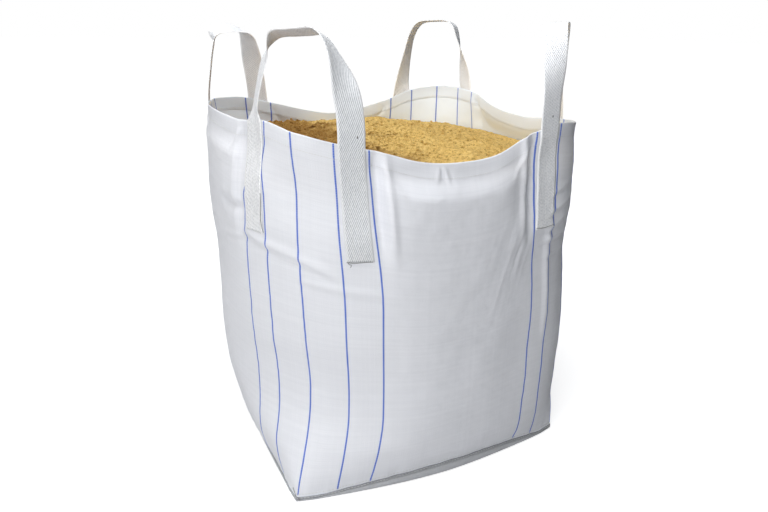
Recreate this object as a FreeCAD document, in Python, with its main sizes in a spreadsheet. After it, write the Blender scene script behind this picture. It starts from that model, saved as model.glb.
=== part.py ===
# Bulk bag (flexible intermediate bulk container), filled with sand, with four cross-corner lifting loops.
# Frame: +Z up, origin on the floor under the middle of the base. The front face looks along -Y.
# A circular-woven tube is sewn to a square base panel. Each lifting loop is one length of webbing
# whose two ends are sewn to the two faces that meet at a corner.
import FreeCAD, Part
import Sketcher
import math
import os

CORNERS = ["front_left", "front_right", "back_right", "back_left"]
FACES = ["front", "right", "back", "left"]  # FACES[k] runs from CORNERS[k] to CORNERS[k + 1]

# Plan outline of the filled bag at each level: height, half width at mid-face, radius of the bulging
# face, radius of the rounded corner. The woven tube keeps nearly one girth all the way up.
LEVELS = {
    "floor": (0, 452, 6177, 50),
    "curl": (14, 476, 4342, 55),
    "seam": (35, 489, 3427, 60),
    "low": (120, 508, 1450, 100),
    "belly": (300, 520, 961, 150),
    "waist": (600, 519, 1075, 160),
    "shoulder": (850, 511, 1506, 160),
    "rim": (1030, 504, 2200, 160),
}

SIZES = {
    # layers, as distances outward from the outer face of the woven tube
    "wall_outer": 0,
    "wall_inner": -1.5,
    "hem_outer": -1.7,
    "hem_inner": -2.9,
    "hem_thread_outer": -3.1,
    "hem_thread_inner": -3.9,
    "sand_side": -4.5,
    "yarn_inner": 0.1,
    "yarn_outer": 0.6,
    "strap_inner": 0.8,
    "strap_outer": 3.8,
    "thread_inner": 4.0,
    "thread_outer": 5.0,
    "seam_cord_inner": 0.4,
    "seam_cord_outer": 5.4,
    # heights
    "fill_line": 885,
    "hem_depth": 40,
    "hem_thread_drop": 34,
    "thread_width": 1.2,
    "seam_cord_gap": 1,
    "seam_cord_width": 8,
    "seam_thread_gap": 11,
    "yarn_bottom": 49,
    "sand_lift": 3,
    "sand_crown": 955,
    "sand_shore": 895,
    # how far the rim hangs down between the loops, face by face
    "sag_half_span": 262,
    "front_sag": 78,
    "right_sag": 35,
    "back_sag": 85,
    "left_sag": 14,
    # lifting loops
    "webbing_width": 70,
    "webbing_thickness": 3,
    "strap_from_centre": 299,
    "sewn_length": 305,
    "stitch_rows": 5,
    "stitch_inset": 5,
    "fold_length": 36,
    "fold_gap": 0.3,
    "loop_height": 272,
    "loop_roundness": 2.5,
    # marker yarns
    "yarn_width": 6,
    "yarn_spacing": 90,
}

TUBE_LEVELS = ("seam", "low", "belly", "waist", "shoulder", "rim")
BASE_LEVELS = ("floor", "curl", "seam")
# Construction boxes start well outside the bag. They span all of it, or reach in from one side only.
FAR_EDGE = "-700"
ACROSS = "1400"
ONE_SIDE = "400"

doc = FreeCAD.newDocument("BulkBag")
sheet = doc.addObject("Spreadsheet::Sheet", "Sizes")


def fill_sheet():
    """Puts every driving dimension in a cell with an alias."""
    cells = dict(SIZES)
    for level, (height, half, side_radius, corner_radius) in LEVELS.items():
        cells[level + "_height"] = height
        cells[level + "_half_width"] = half
        cells[level + "_side_radius"] = side_radius
        cells[level + "_corner_radius"] = corner_radius
    for row, (alias, value) in enumerate(cells.items(), start=1):
        sheet.set(f"A{row}", alias)
        sheet.set(f"B{row}", str(value))
        sheet.setAlias(f"B{row}", alias)
    doc.recompute()


def size(alias):
    return float(sheet.get(alias))


def about_z(angle):
    return FreeCAD.Placement(FreeCAD.Vector(0, 0, 0), FreeCAD.Rotation(FreeCAD.Vector(0, 0, 1), angle))


def draw_outline(sketch, side_radius, corner_radius, shift):
    """Draws four face arcs and four corner arcs in turn, tangent where they meet.

    The centre of each face arc lies on an axis, behind the sketch's origin by the shift."""
    reach = side_radius - corner_radius
    corner = (math.sqrt(2 * reach**2 - shift**2) - shift) / 2
    half_angle = math.atan2(corner, corner + shift)
    up = FreeCAD.Vector(0, 0, 1)
    for k in range(4):
        facing = math.radians(90 * k - 90)
        outward = FreeCAD.Vector(math.cos(facing), math.sin(facing), 0)
        onward = up.cross(outward)
        face = Part.Circle(outward * -shift, up, side_radius)
        rounding = Part.Circle((outward + onward) * corner, up, corner_radius)
        turn_end = facing + math.pi / 2 - half_angle
        sketch.addGeometry(Part.ArcOfCircle(face, facing - half_angle, facing + half_angle), False)
        sketch.addGeometry(Part.ArcOfCircle(rounding, facing + half_angle, turn_end), False)


def bind(sketch, name, constraint, expression):
    index = sketch.addConstraint(constraint)
    sketch.renameConstraint(index, name)
    sketch.setExpression(f"Constraints.{name}", expression)


def outline_sketch(body, name, level, layer, lift="0"):
    """Sketch of the bag's plan outline at a level, grown by a layer's distance."""
    side_radius = size(level + "_side_radius") + size(layer)
    corner_radius = size(level + "_corner_radius") + size(layer)
    shift = size(level + "_side_radius") - size(level + "_half_width")
    sketch = body.newObject("Sketcher::SketchObject", name)
    plane = next(f for f in body.Origin.OriginFeatures if f.Role == "XY_Plane")
    sketch.AttachmentSupport = [(plane, "")]
    sketch.MapMode = "FlatFace"
    draw_outline(sketch, side_radius, corner_radius, shift)
    for k in range(8):
        sketch.addConstraint(Sketcher.Constraint("Tangent", k, 2, (k + 1) % 8, 1))
    for face, axis in ((0, -2), (2, -1), (4, -2), (6, -1)):
        sketch.addConstraint(Sketcher.Constraint("PointOnObject", face, 3, axis))
    shifts = (
        Sketcher.Constraint("DistanceY", -1, 1, 0, 3, shift),
        Sketcher.Constraint("DistanceX", 2, 3, -1, 1, shift),
        Sketcher.Constraint("DistanceY", 4, 3, -1, 1, shift),
        Sketcher.Constraint("DistanceX", -1, 1, 6, 3, shift),
    )
    for k, constraint in enumerate(shifts):
        bind(sketch, f"face_shift_{k}", constraint, f"Sizes.{level}_side_radius - Sizes.{level}_half_width")
    for first, kind, radius in ((0, "side", side_radius), (1, "corner", corner_radius)):
        constraint = Sketcher.Constraint("Radius", first, radius)
        bind(sketch, kind + "_radius", constraint, f"Sizes.{level}_{kind}_radius + Sizes.{layer}")
        for k in (2, 4, 6):
            sketch.addConstraint(Sketcher.Constraint("Equal", first, first + k))
    sketch.setExpression("AttachmentOffset.Base.z", f"Sizes.{level}_height + {lift}")
    return sketch


def loft(body, kind, name, levels, layer, lifts=None):
    """AdditiveLoft or SubtractiveLoft through the outlines at the levels, each with an optional lift."""
    sketches = []
    for i, level in enumerate(levels):
        lift = lifts[i] if lifts else "0"
        sketches.append(outline_sketch(body, f"{name}_{i}", level, layer, lift))
    doc.recompute()
    feature = body.newObject(f"PartDesign::{kind}", name)
    feature.Profile = (sketches[0], [""])
    feature.Sections = [(s, [""]) for s in sketches[1:]]
    body.Tip = feature
    return feature


def shell(name, levels, outer, inner, lifts=None, inner_lifts=None):
    """Body made of the space between two lofted layers of the bag."""
    body = doc.addObject("PartDesign::Body", name)
    loft(body, "AdditiveLoft", name + "_outside", levels, outer, lifts)
    loft(body, "SubtractiveLoft", name + "_inside", levels, inner, inner_lifts or lifts)
    return body


def box(name, length, width, height, x, y, z, angle=0):
    """Construction box whose sizes and first corner are sheet expressions, turned about Z by an angle."""
    made = doc.addObject("Part::Box", name)
    for prop, value in (("Length", length), ("Width", width), ("Height", height)):
        made.setExpression(prop, value)
    made.Placement = about_z(angle)
    made.setExpression("Placement.Base.x", f"cos({angle}) * ({x}) - sin({angle}) * ({y})")
    made.setExpression("Placement.Base.y", f"sin({angle}) * ({x}) + cos({angle}) * ({y})")
    made.setExpression("Placement.Base.z", z)
    return made


def common(name, base, tool):
    made = doc.addObject("Part::Common", name)
    made.Base = base
    made.Tool = tool
    return made


def cut(name, base, tool):
    made = doc.addObject("Part::Cut", name)
    made.Base = base
    made.Tool = tool
    return made


def fuse(name, shapes):
    made = doc.addObject("Part::MultiFuse", name)
    made.Shapes = shapes
    return made


def below_rim(name, bottom, drop="0"):
    """Construction solid of all the space under the rim line: a box less one round scoop on each face."""
    slab = box(
        name + "_slab", ACROSS, ACROSS, f"Sizes.rim_height - ({bottom}) - ({drop})",
        FAR_EDGE, FAR_EDGE, bottom,
    )
    scoops = []
    for k, face in enumerate(FACES):
        sag = f"Sizes.{face}_sag"
        radius = f"(Sizes.sag_half_span ^ 2 + {sag} ^ 2) / (2 * {sag})"
        scoop = doc.addObject("Part::Cylinder", f"{name}_{face}_scoop")
        scoop.setExpression("Radius", radius)
        scoop.setExpression("Height", ACROSS)
        lay_flat = FreeCAD.Rotation(FreeCAD.Vector(1, 0, 0), 90)
        facing = FreeCAD.Rotation(FreeCAD.Vector(0, 0, 1), 90 * k)
        scoop.Placement = FreeCAD.Placement(FreeCAD.Vector(0, 0, 0), facing.multiply(lay_flat))
        scoop.setExpression("Placement.Base.z", f"Sizes.rim_height - ({drop}) - {sag} + {radius}")
        scoops.append(scoop)
    return cut(name, slab, fuse(name + "_scoops", scoops))


def band(name, layer, start, width):
    """A ring cut from a layer of the bag, between two heights."""
    slab = box(name + "_slab", ACROSS, ACROSS, width, FAR_EDGE, FAR_EDGE, start)
    return common(name, layer, slab)


def rim_strip(name, start_drop, end_drop):
    """Construction solid between two copies of the rim line, at two depths below it."""
    return cut(name, below_rim(name + "_head", "800", start_drop), below_rim(name + "_foot", "799", end_drop))


def make_tube():
    """The woven tube, in two nodes that meet at the fill line, and the hem folded in along the rim."""
    wall = shell("woven_wall", TUBE_LEVELS, "wall_outer", "wall_inner")
    tube = band("body_tube", wall, "0", "Sizes.fill_line")
    rim = common("rim_band", wall, below_rim("above_fill", "Sizes.fill_line"))
    hem_wall = shell("hem_wall", TUBE_LEVELS, "hem_outer", "hem_inner")
    hem = common("rim_hem", hem_wall, rim_strip("hem_strip", "0", "Sizes.hem_depth"))
    thread_wall = shell("hem_thread_wall", TUBE_LEVELS, "hem_thread_outer", "hem_thread_inner")
    drop = "Sizes.hem_thread_drop"
    thread_strip = rim_strip("hem_thread", drop, drop + " + Sizes.thread_width")
    thread = common("rim_hem_stitching", thread_wall, thread_strip)
    return [tube, rim, hem, thread]


def make_base(yarn_layer):
    """The square base panel with its curled edge, and the base seam's filler cord and two thread lines."""
    inner_lifts = ("-Sizes.wall_inner", "0", "0")
    panel = shell("base_panel", BASE_LEVELS, "wall_outer", "wall_inner", ("0", "0", "0"), inner_lifts)
    cord_layer = shell("seam_cord_layer", TUBE_LEVELS, "seam_cord_outer", "seam_cord_inner")
    seam, gap = "Sizes.seam_height", "Sizes.seam_thread_gap"
    cord = band("base_seam_cord", cord_layer, f"{seam} + Sizes.seam_cord_gap", "Sizes.seam_cord_width")
    panel_layer = shell("seam_thread_layer", BASE_LEVELS, "yarn_outer", "yarn_inner")
    lines = [
        band("seam_thread_lower", panel_layer, f"{seam} - {gap}", "Sizes.thread_width"),
        band("seam_thread_upper", yarn_layer, f"{seam} + {gap}", "Sizes.thread_width"),
    ]
    return [panel, cord, fuse("base_seam_stitching", lines)]


def make_sand():
    """The heap of sand that fills the bag, domed at the top."""
    body = doc.addObject("PartDesign::Body", "sand_column")
    loft(body, "AdditiveLoft", "sand_in_base", BASE_LEVELS, "sand_side", ("Sizes.sand_lift", "0", "0"))
    loft(body, "AdditiveLoft", "sand_in_tube", TUBE_LEVELS, "sand_side")
    dome = doc.addObject("Part::Sphere", "sand_dome")
    rise = "(Sizes.sand_crown - Sizes.sand_shore)"
    radius = f"(Sizes.rim_half_width ^ 2 + {rise} ^ 2) / (2 * {rise})"
    dome.setExpression("Radius", radius)
    dome.setExpression("Placement.Base.z", f"Sizes.sand_crown - ({radius})")
    return common("sand_fill", body, dome)


def stitch_grid(name, left, bottom, angle):
    """Construction slats for one strap end's stitching: rows down the webbing, closed at foot and head."""
    inset, thread = "Sizes.stitch_inset", "Sizes.thread_width"
    run = f"(Sizes.webbing_width - 2 * {inset} - {thread})"
    rows = int(size("stitch_rows"))
    slats = []
    for i in range(rows):
        across = f"{left} + {inset} + {run} * {i / (rows - 1)}"
        length = f"Sizes.sewn_length - 2 * {inset}"
        foot = f"{bottom} + {inset}"
        slats.append(box(f"{name}_row_{i}", thread, ONE_SIDE, length, across, FAR_EDGE, foot, angle))
    width, edge = f"Sizes.webbing_width - 2 * {inset}", f"{left} + {inset}"
    for end, height in (("foot", f"{bottom} + {inset}"), ("head", f"Sizes.rim_height - 3 * {inset}")):
        slats.append(box(f"{name}_{end}", width, ONE_SIDE, thread, edge, FAR_EDGE, height, angle))
    return fuse(name, slats)


def make_strap_ends():
    """The eight sewn ends of webbing, each with its lock stitching through webbing and wall."""
    webbing = shell("strap_wall", TUBE_LEVELS, "strap_outer", "strap_inner")
    stitches = shell("strap_thread_wall", TUBE_LEVELS, "thread_outer", "thread_inner")
    bottom = "(Sizes.rim_height - Sizes.sewn_length)"
    made = []
    for k, face in enumerate(FACES):
        for corner, side in ((CORNERS[k], "-"), (CORNERS[(k + 1) % 4], "+")):
            left = f"{side}Sizes.strap_from_centre - Sizes.webbing_width / 2"
            block = box(
                f"{corner}_block_on_{face}", "Sizes.webbing_width", ONE_SIDE, "Sizes.sewn_length",
                left, FAR_EDGE, bottom, 90 * k,
            )
            made.append(common(f"{corner}_strap_end_on_{face}", webbing, block))
            grid = stitch_grid(f"{corner}_grid_on_{face}", left, bottom, 90 * k)
            made.append(common(f"{corner}_stitching_on_{face}", stitches, grid))
    return made


def make_marker_yarns(yarn_layer):
    """Blue tapes woven into the tube: one on each corner, and a pair either side of each strap end."""
    woven = common("woven_yarns", yarn_layer, below_rim("yarn_limit", "Sizes.yarn_bottom"))
    half = "Sizes.yarn_width / 2"
    made = []
    for k, corner in enumerate(CORNERS):
        places = [("0", 90 * k - 45)]
        for angle, side in ((90 * k, "-"), (90 * k - 90, "+")):
            for step in ("-", "+"):
                places.append((f"{side}(Sizes.strap_from_centre {step} Sizes.yarn_spacing / 2)", angle))
        slats = [
            box(
                f"{corner}_yarn_{i}", "Sizes.yarn_width", ONE_SIDE, ACROSS,
                f"{middle} - {half}", FAR_EDGE, "0", angle,
            )
            for i, (middle, angle) in enumerate(places)
        ]
        made.append(common(f"{corner}_marker_yarns", woven, fuse(f"{corner}_yarn_slats", slats)))
    return made


def loop_section(angle):
    """Rectangle of webbing across the front left loop. The angle runs from 0 at its front end to pi.

    The loop arches over the corner in the upright plane through both strap ends. Its webbing lies flat on
    each face at the rim and turns 45 degrees on the way up, so that at the top it lies level."""
    start = size("strap_from_centre")
    face_centre = size("rim_side_radius") - size("rim_half_width")
    webbing_middle = (size("strap_inner") + size("strap_outer")) / 2
    out = math.sqrt(size("rim_side_radius") ** 2 - start**2) - face_centre + webbing_middle
    foot = FreeCAD.Vector(-(start + out) / 2, -(start + out) / 2, size("rim_height"))
    along = FreeCAD.Vector(-1, 1, 0).normalize()
    outward = FreeCAD.Vector(-1, -1, 0).normalize()
    up = FreeCAD.Vector(0, 0, 1)
    half_span, height, power = (out - start) / math.sqrt(2), size("loop_height"), size("loop_roundness")

    c, s = math.cos(angle), math.sin(angle)
    share = s ** (2 / power)
    centre = foot - along * (half_span * math.copysign(abs(c) ** (2 / power), c)) + up * (height * share)
    steepness = 2 - 2 / power
    tangent = along * (half_span * s**steepness) + up * (height * math.copysign(abs(c) ** steepness, c))
    tangent.normalize()
    twist = math.copysign(math.radians(45) * (1 - share), c)
    across = outward * math.cos(twist) + along * math.sin(twist)
    across = (across - tangent * across.dot(tangent)).normalize()
    normal = tangent.cross(across)
    across = across * (size("webbing_width") / 2)
    normal = normal * (size("webbing_thickness") / 2)
    points = [centre + across * i + normal * j for i, j in ((-1, -1), (1, -1), (1, 1), (-1, 1), (-1, -1))]
    return Part.makePolygon(points)


def loop_angle(rise):
    """The angle at which the loop's front side reaches a height above the rim."""
    return math.asin((rise / size("loop_height")) ** (size("loop_roundness") / 2))


def webbing_loft(first, last, sections):
    angles = [first + (last - first) * i / (sections - 1) for i in range(sections)]
    return Part.makeLoft([loop_section(angle) for angle in angles], True, False)


def make_loops():
    """Each loop's free arch, and the short lengths above the rim where the webbing folds."""
    gap, fold = size("fold_gap"), size("fold_length")
    arch = webbing_loft(loop_angle(fold + gap), math.pi - loop_angle(fold + gap), 19)
    foot, knee = loop_angle(gap), loop_angle(fold)
    folds = Part.makeCompound([webbing_loft(foot, knee, 3), webbing_loft(math.pi - knee, math.pi - foot, 3)])
    made = []
    for k, corner in enumerate(CORNERS):
        for suffix, shape in (("lifting_loop", arch), ("strap_folds", folds)):
            feature = doc.addObject("Part::Feature", f"{corner}_{suffix}")
            feature.Shape = shape.copy()
            feature.Placement = about_z(90 * k)
            made.append(feature)
    return made


def check(parts):
    bad = [o.Name for o in doc.Objects if "Invalid" in o.State or "Error" in o.State]
    if bad:
        raise RuntimeError(f"objects failed to compute: {bad}")
    for part in parts:
        if part.Shape.isNull() or not part.Shape.isValid() or not part.Shape.Solids:
            raise RuntimeError(f"{part.Label} has no valid solid")


def main():
    fill_sheet()
    yarn_layer = shell("yarn_layer", TUBE_LEVELS, "yarn_outer", "yarn_inner")
    parts = make_tube() + make_base(yarn_layer) + [make_sand()]
    parts += make_strap_ends() + make_marker_yarns(yarn_layer) + make_loops()
    doc.recompute()
    check(parts)
    os.makedirs("parts", exist_ok=True)
    for part in parts:
        part.Shape.exportStep(os.path.join("parts", part.Label + ".step"))
        print(f"{part.Label}: {len(part.Shape.Solids)} solids, {part.Shape.Volume / 1000:.1f} cm3")


main()
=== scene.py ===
"""Looks of a woven bulk bag standing full of sand. Metres, +Z up, the front face looks along -Y."""
import math

import bmesh
import bpy
import numpy as np
from mathutils import Matrix, Vector


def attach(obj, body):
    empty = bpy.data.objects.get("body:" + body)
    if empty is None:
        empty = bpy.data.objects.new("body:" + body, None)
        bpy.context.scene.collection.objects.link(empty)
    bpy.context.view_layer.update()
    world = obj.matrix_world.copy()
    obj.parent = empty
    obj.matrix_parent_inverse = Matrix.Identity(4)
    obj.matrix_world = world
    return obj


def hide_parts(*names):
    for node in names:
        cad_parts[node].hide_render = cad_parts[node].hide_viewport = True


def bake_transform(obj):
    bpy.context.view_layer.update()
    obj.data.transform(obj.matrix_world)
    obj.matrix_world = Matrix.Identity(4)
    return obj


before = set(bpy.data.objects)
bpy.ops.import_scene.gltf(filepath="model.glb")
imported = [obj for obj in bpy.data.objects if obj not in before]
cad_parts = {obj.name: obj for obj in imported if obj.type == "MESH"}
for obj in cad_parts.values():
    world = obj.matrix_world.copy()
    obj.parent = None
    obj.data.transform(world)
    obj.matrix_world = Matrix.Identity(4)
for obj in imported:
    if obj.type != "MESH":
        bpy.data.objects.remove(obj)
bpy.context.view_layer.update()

CORNERS = ("front_left", "front_right", "back_right", "back_left")
FACES = ("front", "right", "back", "left")  # FACES[k] runs from CORNERS[k] to CORNERS[k + 1]

# ---- driving sizes ----
SIDE = 0.9                    # cloth between two corners
GIRTH = 4 * SIDE
CLOTH_HEIGHT = 1.10           # cut height of the tube
CLOTH = 0.0009                # thickness of the woven cloth
WEBBING_WIDTH = 0.07
WEBBING_THICK = 0.0024
# from each corner back and on to the middle of its two sewn strap ends, along the cloth
STRAP_PLACES = {
    "front_left": (0.151, 0.151),
    "front_right": (0.151, 0.170),
    "back_right": (0.151, 0.151),
    "back_left": (0.170, 0.151),
}
STRAP_MIDDLE = 0.151          # where most of the strap ends are
YARN_BESIDE = 0.045           # from the middle of a strap to the marker yarn beside it
YARN_WIDTH = 0.0046
SEWN_LENGTH = 0.30
SAND_LINE = 0.915             # about where the sand meets the wall

# The filled bag's plan outline by height: half width at mid-face, and each coordinate of the corner.
OUTLINE_HEIGHTS = (0.00, 0.04, 0.12, 0.21, 0.30, 0.47, 0.65, 0.76, 0.89, 1.00, 1.06)
HALF_WIDTHS = {
    "front": (0.516, 0.518, 0.522, 0.528, 0.532, 0.534, 0.530, 0.525, 0.514, 0.504, 0.502),
    "right": (0.494, 0.503, 0.517, 0.527, 0.532, 0.534, 0.530, 0.525, 0.514, 0.504, 0.502),
    "back": (0.494, 0.503, 0.517, 0.527, 0.532, 0.534, 0.530, 0.525, 0.514, 0.504, 0.502),
    "left": (0.475, 0.488, 0.507, 0.527, 0.537, 0.543, 0.544, 0.544, 0.544, 0.545, 0.545),
}
CORNER_POINTS = {
    "front_left": (0.450, 0.442, 0.416, 0.393, 0.388, 0.404, 0.416, 0.422, 0.421, 0.434, 0.436),
    "front_right": (0.437, 0.436, 0.430, 0.432, 0.436, 0.438, 0.432, 0.440, 0.438, 0.437, 0.445),
    "back_right": (0.446, 0.440, 0.425, 0.412, 0.412, 0.425, 0.434, 0.438, 0.435, 0.438, 0.438),
    "back_left": (0.446, 0.440, 0.425, 0.412, 0.410, 0.420, 0.430, 0.436, 0.448, 0.464, 0.470),
}
# Half faces that bow evenly all the way to their corner, from the first height to the second.
BOWED_HALVES = {("left", "back_left"): (-1.0, -0.5), ("left", "front_left"): (0.84, 1.0)}
SQUARE_FOOT = 0.15            # below this height the corners draw in to a point at the base seam
# Height of the rim at nine even steps along each face, from its first corner to its second.
RIM_HEIGHTS = {
    "front": (1.042, 1.014, 0.988, 0.955, 0.946, 0.957, 1.003, 1.029, 1.020),
    "right": (1.020, 1.012, 1.001, 0.988, 0.988, 1.000, 1.034, 1.045, 1.044),
    "back": (1.044, 1.026, 0.985, 0.958, 0.944, 0.963, 0.993, 1.020, 1.023),
    "left": (1.023, 1.030, 1.040, 1.048, 1.051, 1.048, 1.045, 1.057, 1.042),
}
SEAM_LIFTS = np.array([0.022, 0.026, 0.026, 0.008])  # at the middle of each face
SEAM_AT_CORNER = 0.006
SEAM_ARCH = 0.40              # half the length of the arch that the seam makes on each face

COLUMNS = 720
ROWS = 200
NOISE_CELLS = 64              # a random field repeats after this many cells


# ---- small helpers ----
def smooth(x, start, end):
    """0 before start, 1 after end, with soft ends. Works with end below start too."""
    w = np.clip((np.asarray(x, float) - start) / (end - start), 0, 1)
    return w * w * (3 - 2 * w)


def bump(x, width):
    return np.exp(-((np.asarray(x, float) / width) ** 2))


def curve_through(x, xs, ys):
    """Smooth curve through given points: cubic pieces with finite-difference slopes."""
    xs, ys, x = np.array(xs, float), np.array(ys, float), np.clip(np.asarray(x, float), xs[0], xs[-1])
    slopes = np.gradient(ys, xs)
    i = np.clip(np.searchsorted(xs, x, side="right") - 1, 0, len(xs) - 2)
    width = xs[i + 1] - xs[i]
    w = (x - xs[i]) / width
    return (
        (2 * w**3 - 3 * w**2 + 1) * ys[i]
        + (w**3 - 2 * w**2 + w) * width * slopes[i]
        + (3 * w**2 - 2 * w**3) * ys[i + 1]
        + (w**3 - w**2) * width * slopes[i + 1]
    )


def distances(points):
    return np.concatenate([[0], np.cumsum(np.linalg.norm(np.diff(points, axis=0), axis=1))])


class Noise:
    """Smooth random field on a plane, repeating after a number of cells each way, from -1 to 1."""

    def __init__(self, seed, cells=NOISE_CELLS):
        self.cells = cells
        self.grid = np.random.default_rng(seed).uniform(-1, 1, (cells, cells))

    def __call__(self, x, y):
        ix, iy = np.floor(x).astype(int), np.floor(y).astype(int)
        fx, fy = x - ix, y - iy
        fx, fy = fx * fx * (3 - 2 * fx), fy * fy * (3 - 2 * fy)
        n, g = self.cells, self.grid
        a = g[ix % n, iy % n] * (1 - fx) + g[(ix + 1) % n, iy % n] * fx
        b = g[ix % n, (iy + 1) % n] * (1 - fx) + g[(ix + 1) % n, (iy + 1) % n] * fx
        return a * (1 - fy) + b * fy

    def fractal(self, x, y, octaves=4, gain=0.5):
        total, size = 0, 1.0
        for k in range(octaves):
            total = total + size * self(x * 2**k + 17.3 * k, y * 2**k + 5.1 * k)
            size *= gain
        return total


# ---- the wall of the bag ----
def outline_table(face, corner):
    """Points (along, out) of half a face, from its middle to a corner, by height and cloth distance."""
    heights = np.linspace(0, OUTLINE_HEIGHTS[-1], 107)
    half_widths = curve_through(heights, OUTLINE_HEIGHTS, HALF_WIDTHS[face])
    corner_points = curve_through(heights, OUTLINE_HEIGHTS, CORNER_POINTS[corner])
    bowed_share = smooth(heights, SQUARE_FOOT, 0.01)
    if (face, corner) in BOWED_HALVES:
        bowed_share = np.maximum(bowed_share, smooth(heights, *BOWED_HALVES[face, corner]))
    share = np.linspace(0, 1, 400)
    table = []
    for a, c, w in zip(half_widths, corner_points, bowed_share):
        power = math.log(2) / math.log(a / c)
        along = c * share
        rounded = (a**power - along**power) ** (1 / power)
        bowed = a - (a - c) * share**1.8
        outline = np.stack([along, rounded * (1 - w) + bowed * w], 1)
        length = distances(outline)
        even = np.linspace(0, length[-1], 181)
        table.append([np.interp(even, length, outline[:, k]) for k in (0, 1)])
    return np.array(table).transpose(1, 0, 2)


# TABLES[face][0] runs from mid-face to the face's first corner, TABLES[face][1] to its second
TABLES = [
    [outline_table(face, CORNERS[(k + side) % 4]) for side in (0, 1)]
    for k, face in enumerate(FACES)
]


def from_table(table, s, z):
    """Bilinear look-up of (along, out) at a share s of the half face and a height z."""
    _, rows, columns = table.shape
    r = np.clip(z / OUTLINE_HEIGHTS[-1], 0, 1) * (rows - 1)
    c = np.clip(s, 0, 1) * (columns - 1)
    i, j = np.minimum(r.astype(int), rows - 2), np.minimum(c.astype(int), columns - 2)
    fr, fc = r - i, c - j
    low = table[:, i, j] * (1 - fc) + table[:, i, j + 1] * fc
    high = table[:, i + 1, j] * (1 - fc) + table[:, i + 1, j + 1] * fc
    return low * (1 - fr) + high * fr


def face_of(u):
    """Face number and signed cloth distance from the middle of that face."""
    u = np.mod(u, GIRTH)
    face = np.minimum((u / SIDE).astype(int), 3)
    return face, u - (face + 0.5) * SIDE


def near(u, place, width):
    """Bell round a place on the girth, the short way round."""
    gap = np.mod(u - place + GIRTH / 2, GIRTH) - GIRTH / 2
    return np.exp(-((gap / width) ** 2))


RIM_LINE = np.concatenate([RIM_HEIGHTS[face][:-1] for face in FACES])


def rim_height(u):
    """Height of the rim: a smooth closed curve through the points of RIM_HEIGHTS."""
    step = np.mod(u, GIRTH) / GIRTH * len(RIM_LINE)
    i = np.floor(step).astype(int)
    w = step - i
    a, b, c, d = (RIM_LINE[(i + k) % len(RIM_LINE)] for k in (-1, 0, 1, 2))
    return b + 0.5 * w * (c - a + w * (2 * a - 5 * b + 4 * c - d + w * (3 * (b - c) + d - a)))


def seam_arch(u):
    """1 at the middle of each face, 0 near its corners."""
    return np.clip(1 - (face_of(u)[1] / SEAM_ARCH) ** 2, 0, None)


def seam_height(u):
    return SEAM_AT_CORNER + SEAM_LIFTS[face_of(u)[0]] * seam_arch(u) ** 1.2


def plan_point(u, z):
    """The smooth wall: a point on the outline for each place on the girth and each height."""
    face, s = face_of(u)
    share = np.abs(s) / (SIDE / 2)
    along, out = np.zeros_like(z), np.zeros_like(z)
    for k, halves in enumerate(TABLES):
        for side, table in enumerate(halves):
            here = (face == k) & ((s > 0) == side)
            along[here], out[here] = from_table(table, share[here], z[here])
    along = along * np.sign(s)
    quarter = face * (math.pi / 2)
    x = np.cos(quarter) * along + np.sin(quarter) * out
    y = np.sin(quarter) * along - np.cos(quarter) * out
    return np.stack([x, y, z], -1)


# how deep the valleys beside each face's straps are
VALLEY = np.array([0.015, 0.008, 0.004, 0.006])


def folds(u, z):
    """How far the cloth stands out from the smooth wall: belly, shoulder, valleys beside the straps."""
    face, s = face_of(u)
    corner_gap = SIDE / 2 - np.abs(s)
    below_rim = rim_height(u) - z
    middle = smooth(corner_gap, 0.17, 0.27)

    # below the upright hem the sand pushes the cloth out into a shoulder and a belly
    out = middle * 0.013 * smooth(below_rim, 0.040, 0.105) * smooth(z, 0.52, 0.86)
    uneven = 0.008 * near(u, 0.36, 0.15) - 0.014 * near(u, 0.69, 0.11)
    out += uneven * smooth(z, 0.04, 0.16) * smooth(below_rim, 0.02, 0.10)

    # a valley runs down beside each strap, on the side of the face's middle, with a ridge beyond it
    valley_at = STRAP_MIDDLE + WEBBING_WIDTH / 2 + 0.025 + 0.030 * near(u, 0.22, 0.16) * smooth(z, 0.95, 0.55)
    depth = VALLEY[face] * smooth(z, 0.66, 0.80) * smooth(below_rim, -0.03, 0.05)
    out -= depth * bump(corner_gap - valley_at, 0.015)
    out += 0.55 * depth * bump(corner_gap - valley_at - 0.028, 0.013)
    out -= 0.004 * smooth(z, 0.70, 0.82) * bump(corner_gap - STRAP_MIDDLE, 0.035)
    return out


def drift(u, z):
    """How far tapes and straps that stand at u on the rim have moved along the girth, lower down."""
    hang = smooth(z, 0.95, 0.55) * (0.3 + 0.7 * smooth(z, 0.0, 0.24))
    move = 0.030 * near(u, 0.22, 0.16) + 0.010 * near(u, 0.70, 0.05) - 0.013 * near(u, 0.80, 0.05)
    move = move * hang - 0.014 * near(u, -0.106, 0.03) * bump(z - 0.94, 0.05)
    return move + 0.013 * near(u, -0.196, 0.02) * smooth(z, 0.84, 0.89)


FINE = Noise(11)
BROAD = Noise(12)


def noise_place(u):
    """Place on the girth, in noise cells."""
    return u / GIRTH * NOISE_CELLS


def ripples(u, z):
    """Broad soft undulation, and fine ripples: level everywhere, slanting on the front's right half."""
    low = smooth(z, 0.02, 0.10)
    x = noise_place(u)
    shoulder = BROAD.fractal(x * 0.9, z * 9 + 3, 2) * near(u, 0.45, 0.30) * bump(z - 0.87, 0.05)
    broad = 0.0032 * BROAD.fractal(x * 0.25, z * 5.5, 3)
    level = 0.0006 * FINE.fractal(x * 1.5, z * 40, 3)
    slanting = 0.0013 * FINE.fractal((u - 0.35 * z) * 70, z * 6, 2)
    slanting = slanting * near(u, 0.61, 0.10) * bump(z - 0.64, 0.14)
    return low * (broad + level + slanting + 0.0016 * shoulder)


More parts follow.
